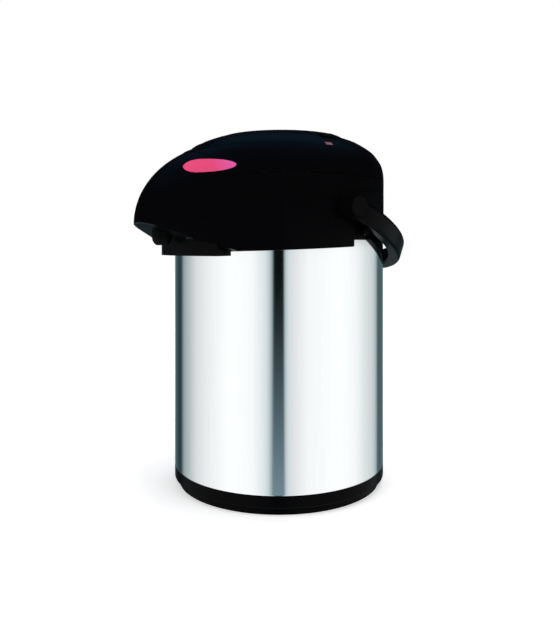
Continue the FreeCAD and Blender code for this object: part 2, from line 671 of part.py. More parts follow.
def lid_base():
    """Floor of the lid with the tapered pump cup that closes the liner's mouth."""
    low = "seam + seam_gap"
    seat = "deck_height + deck_thickness + 3"
    blank = turned("lid_base_blank", [
        ("3", "cup_bottom"), ("mouth_radius - 3", "cup_bottom"), ("mouth_radius - 1", seat),
        ("mouth_radius - 0.6", seat + " + 3.2"), ("mouth_radius + 3.4", seat + " + 3.2"),
        ("mouth_radius + 3.4", low), ("head_radius - head_wall - pump_offset - 0.8", low),
        ("head_radius - head_wall - pump_offset - 0.8", low + " + 2.4"),
        ("mouth_radius - 1 - cup_wall", low + " + 2.4"), ("mouth_radius - 3 - cup_wall", "cup_bottom + 3"),
        ("3", "cup_bottom + 3")], y="pump_offset")
    holes = [cylinder("air_hole_%d" % index, "1.6", "10", x="9 * cos(%d)" % angle,
                      y="pump_offset + 9 * sin(%d)" % angle, z="cup_bottom - 3")
             for index, angle in enumerate(range(0, 360, 60))]
    screw_holes = [cylinder("lid_screw_hole_%d" % index, "screw_radius + 0.2", "10",
                            x="(head_radius - 16) * cos(%d)" % angle,
                            y="(head_radius - 16) * sin(%d)" % angle, z=low + " - 3")
                   for index, angle in enumerate(LID_SCREWS)]
    node(cut("lid_base", blank, *holes, *screw_holes))
    node(turned("lid_gasket", [
        ("mouth_radius - 0.4", seat + " + 0.2"), ("mouth_radius + 3.4", seat + " + 0.2"),
        ("mouth_radius + 3.4", seat + " + 3.2"), ("mouth_radius - 0.4", seat + " + 3.2")],
        y="pump_offset"))
    node(turned("air_valve", [
        ("0", "cup_bottom - 1.2"), ("valve_radius", "cup_bottom - 1.2"), ("valve_radius", "cup_bottom"),
        ("2.8", "cup_bottom"), ("2.8", "cup_bottom + 3"), ("4", "cup_bottom + 3"),
        ("2", "cup_bottom + 6"), ("0", "cup_bottom + 6")], y="pump_offset"))
    screws = []
    for index, angle in enumerate(LID_SCREWS):
        x, y = "(head_radius - 16) * cos(%d)" % angle, "(head_radius - 16) * sin(%d)" % angle
        shank = cylinder("lid_screw_shank_%d" % index, "screw_radius", "10", x=x, y=y, z=low)
        head = cylinder("lid_screw_head_%d" % index, "screw_head", "1.8", x=x, y=y, z=low + " - 1.8")
        screws.append(fuse("lid_screw_%d" % index, shank, head))
    group = doc.addObject("Part::Compound", "lid_screws")
    group.Links = screws
    node(group)


def bellows():
    """Folded wall of the pump, from the cup's floor up to the push plate."""
    low = S["cup_bottom"] + 3.2
    high = S["plate_top"] - S["plate_crown"] - 4
    folds = 8
    outer, inner = S["bellows_radius"], S["bellows_radius"] - S["bellows_fold"]
    wall = S["bellows_wall"]
    pitch = (high - low) / folds
    outside = []
    for fold in range(folds):
        outside += [(inner, low + fold * pitch), (outer, low + (fold + 0.5) * pitch)]
    outside.append((inner, high))
    inside = [(radius - wall, height) for radius, height in reversed(outside)]
    points = [Vector(radius, 0, height) for radius, height in outside + inside]
    profile = Part.Face(Part.makePolygon(points + points[:1]))
    solid = profile.revolve(Vector(0, 0, 0), Vector(0, 0, 1), 360)
    item = node(form("bellows", solid))
    item.Placement = Placement(Vector(0, S["pump_offset"], 0), Rotation())


def coil(radius, wire, height, turns):
    """A round-wire coil that rises from the origin along z, swept along one smooth curve."""
    count = 16 * turns
    points = [Vector(radius * math.cos(2 * math.pi * turns * step / count),
                     radius * math.sin(2 * math.pi * turns * step / count), height * step / count)
              for step in range(count + 1)]
    curve = Part.BSplineCurve()
    curve.interpolate(points)
    ring = Part.Wire(Part.makeCircle(wire / 2, points[0], curve.tangent(curve.FirstParameter)[0]))
    return Part.Wire(curve.toShape()).makePipeShell([ring], True, True)


def return_spring():
    low = S["cup_bottom"] + 3.3 + S["spring_wire"] / 2
    high = S["plate_top"] - S["plate_crown"] - 4.1 - S["spring_wire"] / 2
    item = node(form("return_spring", coil(S["spring_radius"], S["spring_wire"], high - low, 7)))
    item.Placement = Placement(Vector(0, S["pump_offset"], low), Rotation())


def push_plate():
    """Crowned top plate with a guiding skirt and a boss over the bellows."""
    edge = "plate_top - plate_crown"
    crown = doc.addObject("Part::Sphere", "plate_sphere")
    bind(crown, "Radius", "(plate_radius ^ 2 + plate_crown ^ 2) / (2 * plate_crown)")
    place(crown, y="pump_offset", z="plate_top - (plate_radius ^ 2 + plate_crown ^ 2) / (2 * plate_crown)")
    disc = common("plate_disc", crown, cylinder("plate_blank", "plate_radius",
                                                "plate_crown + plate_skirt", y="pump_offset",
                                                z=edge + " - plate_skirt"))
    hollow = tube("plate_hollow", "plate_radius - head_wall", "bellows_radius + 2.4",
                  "plate_skirt - 2.6", y="pump_offset", z=edge + " - plate_skirt")
    core = cylinder("plate_core", "bellows_radius + 0.4", "plate_skirt - 4", y="pump_offset",
                    z=edge + " - plate_skirt")
    node(cut("push_plate", disc, hollow, core))
    node(turned("intake_valve", [
        ("0", edge + " - 6"), ("6", edge + " - 6"), ("6", edge + " - 4"), ("0", edge + " - 4")],
        y="pump_offset"))


# ---------------------------------------------------------------- latch, lock and hinge pin
def latch(head, hollow):
    """Press-down catch that follows the lid's front slope, with its pin and its spring."""
    pad_room = box("latch_pad_room", "latch_width", "latch_rear + head_radius - 0.3", "60",
                   y="(latch_rear - head_radius + 0.3) / 2", z="seam + 5")
    inside_lid = cylinder("latch_limit", "head_radius - 0.3", "80", z="seam")
    pad = common("latch_pad", cut("latch_skin", head, hollow), pad_room, inside_lid)
    arms = [box("latch_arm_%s" % side, "8", "4", "latch_z - seam - 6", x=x,
                y="-(head_radius - 4)", z="seam + 8") for side, x in (("a", "16"), ("b", "-16"))]
    webs = [box("latch_web_%s" % side, "4", "18", "6", x=x, y="latch_y - 7",
                z="latch_z - 2.5") for side, x in (("a", "16"), ("b", "-16"))]
    barrel = cylinder("latch_barrel", "latch_pin + 2", "latch_width - 0.4",
                      x="-(latch_width - 0.4) / 2", y="latch_y", z="latch_z", turn=ALONG_X)
    inner = common("latch_inner", fuse("latch_frame", *arms, *webs, barrel), head, inside_lid)
    hole = cylinder("latch_hole", "latch_pin + running_gap", "latch_width + 2",
                    x="-(latch_width + 2) / 2", y="latch_y", z="latch_z", turn=ALONG_X)
    spring_room = box("latch_spring_room", "10", "2 * latch_pin + 5", "2 * latch_pin + 3.4",
                      y="latch_y", z="latch_z - latch_pin - 2.5")
    node(cut("latch_lever", fuse("latch_whole", pad, inner), hole, spring_room))
    node(cylinder("latch_pin_rod", "latch_pin", "latch_width + 7.6", x="-(latch_width + 7.6) / 2",
                  y="latch_y", z="latch_z", turn=ALONG_X), "latch_pin")
    item = node(form("latch_spring", coil(S["latch_pin"] + 0.5, 0.7, 8, 8)))
    item.Placement = Placement(Vector(-4, S["latch_y"], S["latch_z"]), ALONG_X)


def lock(head):
    """Thumb slide on the lid's side that holds the push plate, and its coloured mark."""
    cap_room = box("lock_cap_room", "lock_width", "lock_length", "60", x="lock_radius", z="seam + 20")
    raised = form("lock_form", head_solid(-1.2))
    skin = cut("lock_skin", raised, form("lock_under", head_solid(-0.4)))
    cap = common("lock_cap", skin, cap_room)
    stem_room = box("lock_stem_room", "lock_width - 3.6", "lock_length - 3.6", "60",
                    x="lock_radius", z="seam + 24")
    stem = common("lock_stem", stem_room, raised)
    node(fuse("lock_slide", cap, stem))
    mark = box("lock_mark_bar", "200", "mark_length", "mark_width", x="100", y="mark_y", z="mark_z")
    shell = cut("lock_mark_skin", form("mark_form", head_solid(-0.25)), head)
    node(common("lock_mark", mark, shell))


def hinge_pin():
    node(cylinder("hinge_rod", "hinge_pin", "knuckle_length + 2 * lug_length + 1",
                  x="-(knuckle_length + 2 * lug_length + 1) / 2", y="hinge_y", z="seam",
                  turn=ALONG_X), "hinge_pin")


# ---------------------------------------------------------------- badge
def badges():
    """Plain plate on each flat flank of the nose, blunt in front and tapered behind."""
    radius = dome_radius(S["badge_z"])
    tip = S["nose_tip"]
    lean = math.asin((radius - tip) / (nose_length(S["badge_z"]) - tip))
    outward = Vector(math.cos(lean), -math.sin(lean), 0)
    along = Vector(-math.sin(lean), -math.cos(lean), 0)
    run = math.sqrt((nose_length(S["badge_z"]) - tip) ** 2 - (radius - tip) ** 2)
    centre = outward * radius + along * (run * S["badge_place"]) + Vector(0, 0, S["badge_z"])
    half = S["badge_height"] / 2
    ends = [Part.ArcOfEllipse(Part.Ellipse(Vector(0, 0, 0), S[length], half), start, start + math.pi)
            for length, start in (("badge_blunt", -math.pi / 2), ("badge_taper", math.pi / 2))]
    prism = Part.Face(Part.Wire([end.toShape() for end in ends])).extrude(Vector(0, 0, 60))
    frame = Rotation(along, Vector(0, 0, 1), outward, "ZXY")
    prism.Placement = Placement(centre - outward * 30, frame)
    skin = head_solid(-S["badge_thickness"]).cut(head_solid(0))
    plate = prism.common(skin)
    node(form("badge_right", plate))
    node(form("badge_left", plate.mirror(Vector(0, 0, 0), Vector(1, 0, 0))))


# ---------------------------------------------------------------- bail handle
def bail_edge(grow):
    """One long side of the bail's flat half outline, an oval from eye to eye."""
    across = S["bail_span"] + grow
    back = S["bail_reach"] / math.cos(math.radians(S["bail_droop"])) + grow
    power, steps = S["bail_power"], 24
    points = []
    for step in range(steps + 1):
        turn = math.pi * step / steps
        size = ((abs(math.cos(turn)) / across) ** power + (math.sin(turn) / back) ** power) ** (-1 / power)
        points.append(Vector(size * math.cos(turn), size * math.sin(turn), 0))
    curve = Part.BSplineCurve()
    curve.interpolate(points)
    return curve.toShape(), points[0], points[-1]


def swing_room(gap):
    """The space that the head needs between the arms as the bail swings over it: a barrel
    turned about the line of the pivots."""
    pivot, reach, step = S["bail_pivot_z"], 75, 5
    widths = []
    for distance in range(0, reach + 1, step):
        widths.append(gap + max(
            math.sqrt(max(0, dome_radius(pivot + distance * math.sin(swing)) ** 2
                          - (distance * math.cos(swing)) ** 2))
            for swing in (math.radians(angle) for angle in range(0, 91, 3))
            if pivot + distance * math.sin(swing) < S["dome_top"]))
    side = [Vector(width, step * index, 0) for index, width in enumerate(widths)]
    mirrored = [Vector(-point.x, point.y, 0) for point in reversed(side)]
    face = Part.Face(Part.makePolygon(side + mirrored + side[:1]))
    return face.revolve(Vector(0, 0, 0), Vector(1, 0, 0), 360)


def bail():
    """Half-oval handle with eyes, and the two shoulder screws that it swings on."""
    thick, tall = S["bail_thickness"], S["bail_height"]
    tilt = Rotation(Vector(1, 0, 0), -S["bail_droop"])
    outer, outer_right, outer_left = bail_edge(thick / 2)
    inner, inner_right, inner_left = bail_edge(-thick / 2)
    outline = Part.Wire(Part.sortEdges([outer, Part.makeLine(outer_left, inner_left), inner,
                                        Part.makeLine(inner_right, outer_right)])[0])
    bow = Part.Face(outline).extrude(Vector(0, 0, tall))
    round_edges = [edge for edge in bow.Edges if edge.Length > S["bail_reach"]]
    bow = bow.makeFillet(thick * 0.25, round_edges)
    bow.translate(Vector(0, 0, -tall / 2))
    bow = bow.cut(swing_room(0.7))
    bow.Placement = Placement(Vector(0, 0, S["bail_pivot_z"]), tilt)
    eyes = []
    for side in (-1, 1):
        start = Vector(side * S["bail_span"] - thick / 2, 0, S["bail_pivot_z"])
        eyes.append(Part.makeCylinder(S["bail_eye"], thick, start, Vector(1, 0, 0)))
    whole = bow.fuse(eyes).removeSplitter()
    hole = Part.makeCylinder(S["bail_pin"] + S["running_gap"], 4 * S["bail_span"],
                             Vector(-2 * S["bail_span"], 0, S["bail_pivot_z"]), Vector(1, 0, 0))
    node(form("bail_handle", whole.cut(hole)))
    screws = []
    outside = "bail_span + bail_thickness / 2 + 0.4"
    inside = "bail_span - bail_thickness / 2 - 0.4"
    for name, sign, turn in (("right", "", ALONG_X), ("left", "-", Rotation(Vector(0, 1, 0), -90))):
        shank = cylinder("bail_shank_" + name, "bail_pin", "bail_thickness + 0.8",
                         x="%s(%s)" % (sign, inside), z="bail_pivot_z", turn=turn)
        thread = cylinder("bail_thread_" + name, "bail_pin - 1", "10",
                          x="%s(%s - 10)" % (sign, inside), z="bail_pivot_z", turn=turn)
        cap = cylinder("bail_cap_" + name, "bail_pin + 3.5", "2", x="%s(%s)" % (sign, outside),
                       z="bail_pivot_z", turn=turn)
        screws.append(fuse("bail_screw_" + name, shank, thread, cap))
    group = doc.addObject("Part::Compound", "bail_screws")
    group.Links = screws
    node(group)


# ---------------------------------------------------------------- assembly
swivel_foot()
base_housing()
outer_shell()
liner()
head_form = form("head_form", head_solid(0))
head_hollow = form("head_hollow", head_solid(S["head_wall"]))
shoulder(head_form, head_hollow)
spout()
pipes()
mouth_ring()
lid_cover(head_form, head_hollow)
lid_base()
bellows()
return_spring()
push_plate()
latch(head_form, head_hollow)
lock(head_form)
hinge_pin()
badges()
bail()
doc.recompute()

faults = [item.Name for item in doc.Objects if "Invalid" in item.State or "Error" in item.State]
faults += [item.Label for item in NODES if item.Shape.isNull() or not item.Shape.isValid()]
if faults:
    raise RuntimeError("failed objects: " + ", ".join(faults))

os.makedirs("parts", exist_ok=True)
for item in NODES:
    item.Shape.exportStep("parts/%s.step" % item.Label)
    print("%-16s %2d solid(s) %10.1f mm3" % (item.Label, len(item.Shape.Solids), item.Shape.Volume))
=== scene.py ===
import bpy
import bmesh
import math
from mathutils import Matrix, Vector


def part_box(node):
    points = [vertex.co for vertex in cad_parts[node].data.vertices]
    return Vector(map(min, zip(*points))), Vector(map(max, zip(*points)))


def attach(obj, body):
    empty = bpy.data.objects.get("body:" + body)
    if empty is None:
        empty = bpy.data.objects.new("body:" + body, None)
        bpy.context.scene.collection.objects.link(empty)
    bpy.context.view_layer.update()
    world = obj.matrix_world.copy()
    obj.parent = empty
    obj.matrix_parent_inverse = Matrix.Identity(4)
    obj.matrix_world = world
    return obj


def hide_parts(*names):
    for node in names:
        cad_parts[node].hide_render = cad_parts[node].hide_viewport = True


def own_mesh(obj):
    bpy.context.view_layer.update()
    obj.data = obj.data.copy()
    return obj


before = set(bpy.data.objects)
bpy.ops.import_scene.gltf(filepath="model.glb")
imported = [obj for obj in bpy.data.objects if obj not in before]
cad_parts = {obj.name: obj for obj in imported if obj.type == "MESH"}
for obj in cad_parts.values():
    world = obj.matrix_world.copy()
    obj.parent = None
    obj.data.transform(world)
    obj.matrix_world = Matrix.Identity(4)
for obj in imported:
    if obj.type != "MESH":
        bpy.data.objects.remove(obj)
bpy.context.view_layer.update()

# ---------------------------------------------------------------- set and camera
# A small product set: a white sweep, and a white tent that the metal mirrors, with a dark gap for
# the camera between its two front sides and dark edge cards behind. The tent is in the world.
MM = 0.001
scene = bpy.context.scene
scene.view_settings.view_transform = "Standard"
# the camera stands level and its lens is shifted down, so that upright edges stay upright
CAMERA_AZIMUTH = math.radians(55)
CAMERA_DISTANCE, CAMERA_HEIGHT = 572 * MM, 197.05 * MM
SENSOR_SIZE, FOCAL_LENGTH = 36, 37.575
HORIZON_RISE, AXIS_OFFSET = 0.1169, 0.0015

camera = bpy.data.objects.new("camera", bpy.data.cameras.new("camera"))
scene.collection.objects.link(camera)
scene.camera = camera
camera.data.sensor_width = SENSOR_SIZE
camera.data.lens = FOCAL_LENGTH
camera.data.shift_x, camera.data.shift_y = AXIS_OFFSET, -HORIZON_RISE
camera.location = (CAMERA_DISTANCE * math.sin(CAMERA_AZIMUTH),
                   -CAMERA_DISTANCE * math.cos(CAMERA_AZIMUTH), CAMERA_HEIGHT)
camera.rotation_euler = (math.pi / 2, 0, CAMERA_AZIMUTH)


def linear(code):
    """A hex sRGB colour as the linear red, green, blue and alpha that a shader takes."""
    parts = [int(code[i:i + 2], 16) / 255 for i in (1, 3, 5)]
    return tuple(c / 12.92 if c <= 0.04045 else ((c + 0.055) / 1.055) ** 2.4 for c in parts) + (1,)


def add_node(tree, kind, settings=None, links=None):
    """A shader node with its attributes or socket values set and its inputs linked."""
    made = tree.nodes.new("ShaderNode" + kind)
    for key, value in (settings or {}).items():
        if isinstance(key, str) and hasattr(made, key):
            setattr(made, key, value)
        else:
            made.inputs[key].default_value = value
    for key, source in (links or {}).items():
        tree.links.new(source, made.inputs[key])
    return made


def new_material(name):
    """An empty material for one real finish, and its node tree."""
    made = bpy.data.materials.new(name)
    made.use_nodes = True
    made.node_tree.nodes.clear()
    return made, made.node_tree


# The tent's sides, each stop as the angle to the right of the camera in degrees, the brightness,
# and how far it turns to teal. Both front sides end in a sharp edge beside the camera's gap.
TENT = [(-180, 0.36, 0.2), (-168, 0.32, 0.2), (-158, 0.15, 0.4), (-144, 0.072, 0.5),
        (-136, 0.042, 0.5), (-131, 0.085, 0.35), (-124, 0.40, 0.2), (-111, 0.59, 0.08),
        (-100, 0.78, 0.0), (-86, 0.91, 0.0), (-53, 1.14, 0.0), (-28, 1.07, 0.0),
        (-15.5, 0.87, 0.05), (-11, 0.72, 0.1), (-7.2, 0.40, 0.2), (-5.4, 0.004, 0.3),
        (4.2, 0.004, 0.3), (6.5, 0.60, 0.15), (10, 0.79, 0.08), (17, 0.87, 0.0),
        (30, 1.04, 0.0), (67, 1.14, 0.0), (89, 1.04, 0.0), (103, 0.86, 0.03),
        (115, 0.75, 0.06), (124, 0.64, 0.1), (130, 0.42, 0.2), (135, 0.12, 0.3),
        (145, 0.12, 0.4), (158, 0.15, 0.4), (168, 0.32, 0.2), (180, 0.36, 0.2)]
TEAL_BLUE = 0.3
# The rest of the tent, by how steeply a ray looks up or down: a lit floor before the camera, a
# dark top that closes just above level, and a blue skylight overhead.
NEAR_FLOOR, FLOOR_EDGE, FLOOR_FULL = (0.20, 0.30, 0.35, 1), -0.02, -0.36
DARK_TOP, TOP_EDGE, TOP_FULL = (0.012, 0.014, 0.018, 1), -0.005, 0.045
SKYLIGHT, SKY_EDGE, SKY_FULL = (0.04, 0.30, 0.62, 1), 0.55, 0.95
WHITE, BASE_LIGHT = (1, 1, 1, 1), 0.45
world = bpy.data.worlds.new("tent")
scene.world = world
world.use_nodes = True
tree = world.node_tree
tree.nodes.clear()
place = add_node(tree, "TexCoord")
turned = add_node(tree, "Mapping", {"vector_type": "POINT",
                                    "Rotation": (0, 0, math.pi / 2 - CAMERA_AZIMUTH)},
                  {"Vector": place.outputs["Generated"]})
parts = add_node(tree, "SeparateXYZ", links={0: turned.outputs[0]})
bearing = add_node(tree, "Math", {"operation": "ARCTAN2"},
                   {0: parts.outputs[1], 1: parts.outputs[0]})
share = add_node(tree, "MapRange", {"From Min": -math.pi, "From Max": math.pi},
                 {"Value": bearing.outputs[0]})
sides = add_node(tree, "ValToRGB", links={0: share.outputs[0]})
stops = sides.color_ramp.elements
while len(stops) < len(TENT):
    stops.new(0.5)
for stop, (angle, level, cool) in zip(stops, TENT):
    stop.position = 0.5 + angle / 360
    stop.color = (level * (1 - cool), level, level * (1 + TEAL_BLUE * cool), 1)
depth = add_node(tree, "MapRange", {"From Min": FLOOR_EDGE, "From Max": FLOOR_FULL},
                 {"Value": parts.outputs[2]})
fading = add_node(tree, "Math", {"operation": "MULTIPLY"},
                  {0: depth.outputs[0], 1: depth.outputs[0]})
in_front = add_node(tree, "Math", {"operation": "MULTIPLY", 1: 1.0, "use_clamp": True},
                    {0: parts.outputs[0]})
glow = add_node(tree, "Math", {"operation": "MULTIPLY"},
                {0: fading.outputs[0], 1: in_front.outputs[0]})
near_floor = add_node(tree, "MixRGB", {"blend_type": "LIGHTEN", 2: NEAR_FLOOR},
                      {0: glow.outputs[0], 1: sides.outputs[0]})
height = add_node(tree, "MapRange", {"From Min": TOP_EDGE, "From Max": TOP_FULL},
                  {"Value": parts.outputs[2]})
walls = add_node(tree, "MixRGB", {2: DARK_TOP}, {0: height.outputs[0], 1: near_floor.outputs[0]})
roof = add_node(tree, "MapRange", {"From Min": SKY_EDGE, "From Max": SKY_FULL},
                {"Value": parts.outputs[2]})
tent = add_node(tree, "MixRGB", {2: SKYLIGHT}, {0: roof.outputs[0], 1: walls.outputs[0]})
# mirrors see the tent, matt surfaces take an even light, and the camera sees plain white
rays = add_node(tree, "LightPath")
mirrored = add_node(tree, "Background", {"Strength": 1}, {"Color": tent.outputs[0]})
lighting = add_node(tree, "Background", {"Color": WHITE, "Strength": BASE_LIGHT})
seen = add_node(tree, "Background", {"Color": WHITE, "Strength": 1})
clear = add_node(tree, "Math", {"operation": "MAXIMUM"},
                 {0: rays.outputs["Is Camera Ray"], 1: rays.outputs["Is Transmission Ray"]})
base_light = add_node(tree, "MixShader", links={0: rays.outputs["Is Glossy Ray"],
                                                1: lighting.outputs[0], 2: mirrored.outputs[0]})
all_light = add_node(tree, "MixShader", links={0: clear.outputs[0], 1: base_light.outputs[0],
                                               2: seen.outputs[0]})
add_node(tree, "OutputWorld", links={0: all_light.outputs[0]})

AIRPOT_MIDDLE = Vector((0, 0, 150 * MM))


def softbox(name, azimuth, elevation, distance, size, watts):
    """A square lamp, in degrees and metres, that faces the middle of the airpot. The metal mirrors
    the tent and not the lamp."""
    made = bpy.data.objects.new(name, bpy.data.lights.new(name, "AREA"))
    scene.collection.objects.link(made)
    made.data.size, made.data.energy = size, watts
    around, up = math.radians(azimuth), math.radians(elevation)
    away = Vector((math.sin(around) * math.cos(up), -math.cos(around) * math.cos(up), math.sin(up)))
    made.location = AIRPOT_MIDDLE + away * distance
    made.rotation_euler = away.to_track_quat("Z", "Y").to_euler()
    made.visible_glossy = False


softbox("left_softbox", azimuth=0, elevation=35, distance=1.2, size=0.8, watts=5.5)
softbox("right_softbox", azimuth=110, elevation=35, distance=1.2, size=0.8, watts=5.5)
softbox("top_softbox", azimuth=200, elevation=70, distance=1.1, size=0.7, watts=5)

# white paper sweep: matt, with a glow to the camera that grows away from the airpot, so that
# only the soft shadow under it is grey
SWEEP_SIZE = 8
NEAR_GLOW, FAR_GLOW, GLOW_START, GLOW_END = 0.34, 0.75, 0.12, 0.6
bpy.ops.object.select_all(action="DESELECT")
bpy.ops.mesh.primitive_plane_add(size=SWEEP_SIZE, location=(0, 0, 0))
floor = bpy.context.object
floor.name = "floor"
floor.visible_glossy = False
paper, tree = new_material("white_paper_sweep")
rays = add_node(tree, "LightPath")
place = add_node(tree, "TexCoord")
away = add_node(tree, "VectorMath", {"operation": "LENGTH"}, {0: place.outputs["Object"]})
rising = add_node(tree, "MapRange", {"From Min": GLOW_START, "From Max": GLOW_END,
                                     "To Min": NEAR_GLOW, "To Max": FAR_GLOW},
                  {"Value": away.outputs["Value"]})
lit = add_node(tree, "Math", {"operation": "MULTIPLY"},
               {0: rays.outputs["Is Camera Ray"], 1: rising.outputs[0]})
matt = add_node(tree, "BsdfDiffuse", {"Color": linear("#f2f2f2")})
shine = add_node(tree, "Emission", {"Color": WHITE}, {"Strength": lit.outputs[0]})
both = add_node(tree, "AddShader", links={0: matt.outputs[0], 1: shine.outputs[0]})
add_node(tree, "OutputMaterial", links={0: both.outputs[0]})
floor.data.materials.append(paper)

# ---------------------------------------------------------------- turning foot and base housing
# The foot is a black polypropylene disc with a rubber ring pressed into it, and the base housing
# turns on it on a white acetal glide ring, held by one screw and a washer from below.


def moulded(name, colour, flow, rough, grain, depth, gloss):
    """Injection-moulded plastic or rubber: a colour that drifts where the melt flowed, a polish
    that drifts where the part was handled, and the skin of the mould. The sizes of their patches,
    the mould's grain and its depth are in millimetres."""
    flow_patch, handled_patch = 40, 9
    made, tree = new_material(name)
    place = add_node(tree, "TexCoord")
    melt = add_node(tree, "TexNoise", {"Scale": 1 / (flow_patch * MM), "Detail": 3,
                                       "Roughness": 0.55}, {"Vector": place.outputs["Object"]})
    tint = add_node(tree, "MixRGB", {1: linear(colour), 2: linear(flow)}, {0: melt.outputs[0]})
    handled = add_node(tree, "TexNoise", {"Scale": 1 / (handled_patch * MM), "Detail": 4,
                                          "Distortion": 0.6}, {"Vector": place.outputs["Object"]})
    polish = add_node(tree, "MapRange", {"From Min": 0.3, "From Max": 0.7, "To Min": rough * 0.86,
                                         "To Max": rough * 1.16}, {"Value": handled.outputs[0]})
    skin = add_node(tree, "TexNoise", {"Scale": 1 / (grain * MM), "Detail": 2},
                    {"Vector": place.outputs["Object"]})
    relief = add_node(tree, "Bump", {"Strength": 0.5, "Distance": depth * MM},
                      {"Height": skin.outputs[0]})
    shader = add_node(tree, "BsdfPrincipled", {"IOR": 1.49, "Specular IOR Level": gloss},
                      {"Base Color": tint.outputs[0], "Roughness": polish.outputs[0],
                       "Normal": relief.outputs[0]})
    add_node(tree, "OutputMaterial", links={0: shader.outputs[0]})
    return made


def dress(material, *names):
    """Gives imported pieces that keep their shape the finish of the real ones."""
    for name in names:
        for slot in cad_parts[name].material_slots:
            slot.material = material


# gloss black polypropylene from a polished mould: near black, with a soft sheen at its edges
gloss_black = moulded("gloss_black_polypropylene", "#040405", "#060608",
                      rough=0.22, grain=2.2, depth=0.012, gloss=0.028)
# black thermoplastic rubber: dull and finely grained
grip_rubber = moulded("black_thermoplastic_rubber", "#111112", "#171718",
                      rough=0.78, grain=0.6, depth=0.05, gloss=0.4)
# acetal: a waxy white that slides well
white_acetal = moulded("white_acetal", "#e9e8e2", "#e2e1da",
                       rough=0.36, grain=1.2, depth=0.01, gloss=0.5)
# bright zinc plating on steel: a bluish white metal with faint crystal patches
CRYSTAL = 1.4
zinc, tree = new_material("zinc_plated_steel")
place = add_node(tree, "TexCoord")
crystals = add_node(tree, "TexVoronoi", {"Scale": 1 / (CRYSTAL * MM)},
                    {"Vector": place.outputs["Object"]})
polish = add_node(tree, "MapRange", {"To Min": 0.22, "To Max": 0.36},
                  {"Value": crystals.outputs["Distance"]})
tint = add_node(tree, "MixRGB", {1: linear("#cfd3d8"), 2: linear("#a9adb3")},
                {0: crystals.outputs["Distance"]})
shader = add_node(tree, "BsdfPrincipled", {"Metallic": 1},
                  {"Base Color": tint.outputs[0], "Roughness": polish.outputs[0]})
add_node(tree, "OutputMaterial", links={0: shader.outputs[0]})
dress(gloss_black, "swivel_foot", "base_housing")
dress(grip_rubber, "foot_grip")
dress(white_acetal, "glide_ring")
dress(zinc, "pivot_washer", "pivot_screw")

# ---------------------------------------------------------------- vacuum liner
# Two drawn stainless steel bottles welded at the neck with a vacuum between, on a rubber cushion,
# closed to the shoulder by a silicone ring.


def spun_steel(name, colour, dark, rough, line, stretch):
    """Stainless steel with fine polishing lines round the part or up it, with the lines' width in
    millimetres and how much longer than wide they are along x, y and z."""
    line_depth = 0.004
    made, tree = new_material(name)
    place = add_node(tree, "TexCoord")
    along = add_node(tree, "Mapping", {"Scale": tuple(1 / (line * step * MM) for step in stretch)},
                     {"Vector": place.outputs["Object"]})
    lines = add_node(tree, "TexNoise", {"Scale": 1, "Detail": 3, "Roughness": 0.6},
                     {"Vector": along.outputs[0]})
    tint = add_node(tree, "MixRGB", {1: linear(colour), 2: linear(dark)}, {0: lines.outputs[0]})
    polish = add_node(tree, "MapRange", {"From Min": 0.25, "From Max": 0.75, "To Min": rough * 0.8,
                                         "To Max": rough * 1.3}, {"Value": lines.outputs[0]})
    relief = add_node(tree, "Bump", {"Strength": 0.12, "Distance": line_depth * MM},
                      {"Height": lines.outputs[0]})
    shader = add_node(tree, "BsdfPrincipled", {"Metallic": 1},
                      {"Base Color": tint.outputs[0], "Roughness": polish.outputs[0],
                       "Normal": relief.outputs[0]})
    add_node(tree, "OutputMaterial", links={0: shader.outputs[0]})
    return made


# drawn bottle steel, left satin: the lines run round it
liner_steel = spun_steel("satin_drawn_stainless", "#c9cbca", "#b3b6b6",
                         rough=0.34, line=0.4, stretch=(40, 40, 1))
# silicone rubber: milky, soft and matt
silicone = moulded("milky_silicone_rubber", "#dcd9d1", "#d2cfc7",
                   rough=0.55, grain=0.8, depth=0.02, gloss=0.4)
dress(liner_steel, "liner_outer", "liner_inner")
dress(grip_rubber, "liner_cushion")
dress(silicone, "liner_gasket")

# ---------------------------------------------------------------- steel shell
# The outer shell is a 0.6 mm stainless tube, welded along the back and polished up and down. Its
# top is cut to the tilt of the head's rim, its foot is rolled in to sit on the base housing.


def edit(piece, kind):
    """Opens one piece for editing, with nothing in it selected."""
    bpy.ops.object.select_all(action="DESELECT")
    piece.select_set(True)
    bpy.context.view_layer.objects.active = piece
    bpy.ops.object.mode_set(mode="EDIT")
    bpy.ops.mesh.select_mode(type=kind)
    bpy.ops.mesh.select_all(action="DESELECT")


def choose(piece, kind, test):
    """Selects the vertices or faces whose middle, in millimetres, passes a test."""
    bpy.ops.mesh.select_all(action="DESELECT")
    shape = bmesh.from_edit_mesh(piece.data)
    for item in getattr(shape, kind):
        middle = item.co if kind == "verts" else item.calc_center_median()
        if test(middle / MM):
            item.select_set(True)
    bmesh.update_edit_mesh(piece.data)


def close(angle):
    """Finishes the piece that is open for editing: merges doubles, turns the faces outwards and
    shades smooth up to an angle in degrees."""
    bpy.ops.mesh.select_all(action="SELECT")
    bpy.ops.mesh.remove_doubles(threshold=0.005 * MM)
    bpy.ops.mesh.normals_make_consistent(inside=False)
    bpy.ops.object.mode_set(mode="OBJECT")
    bpy.ops.object.shade_smooth_by_angle(angle=math.radians(angle))


def modify(piece, kind, **settings):
    """Adds one modifier to the piece and applies it."""
    bpy.ops.object.select_all(action="DESELECT")
    piece.select_set(True)
    bpy.context.view_layer.objects.active = piece
    made = piece.modifiers.new(kind.lower(), kind)
    for key, value in settings.items():
        setattr(made, key, value)
    bpy.ops.object.modifier_apply(modifier=made.name)


SHELL_RADIUS, SHELL_WALL, SHELL_SIDES = 88, 0.6, 288
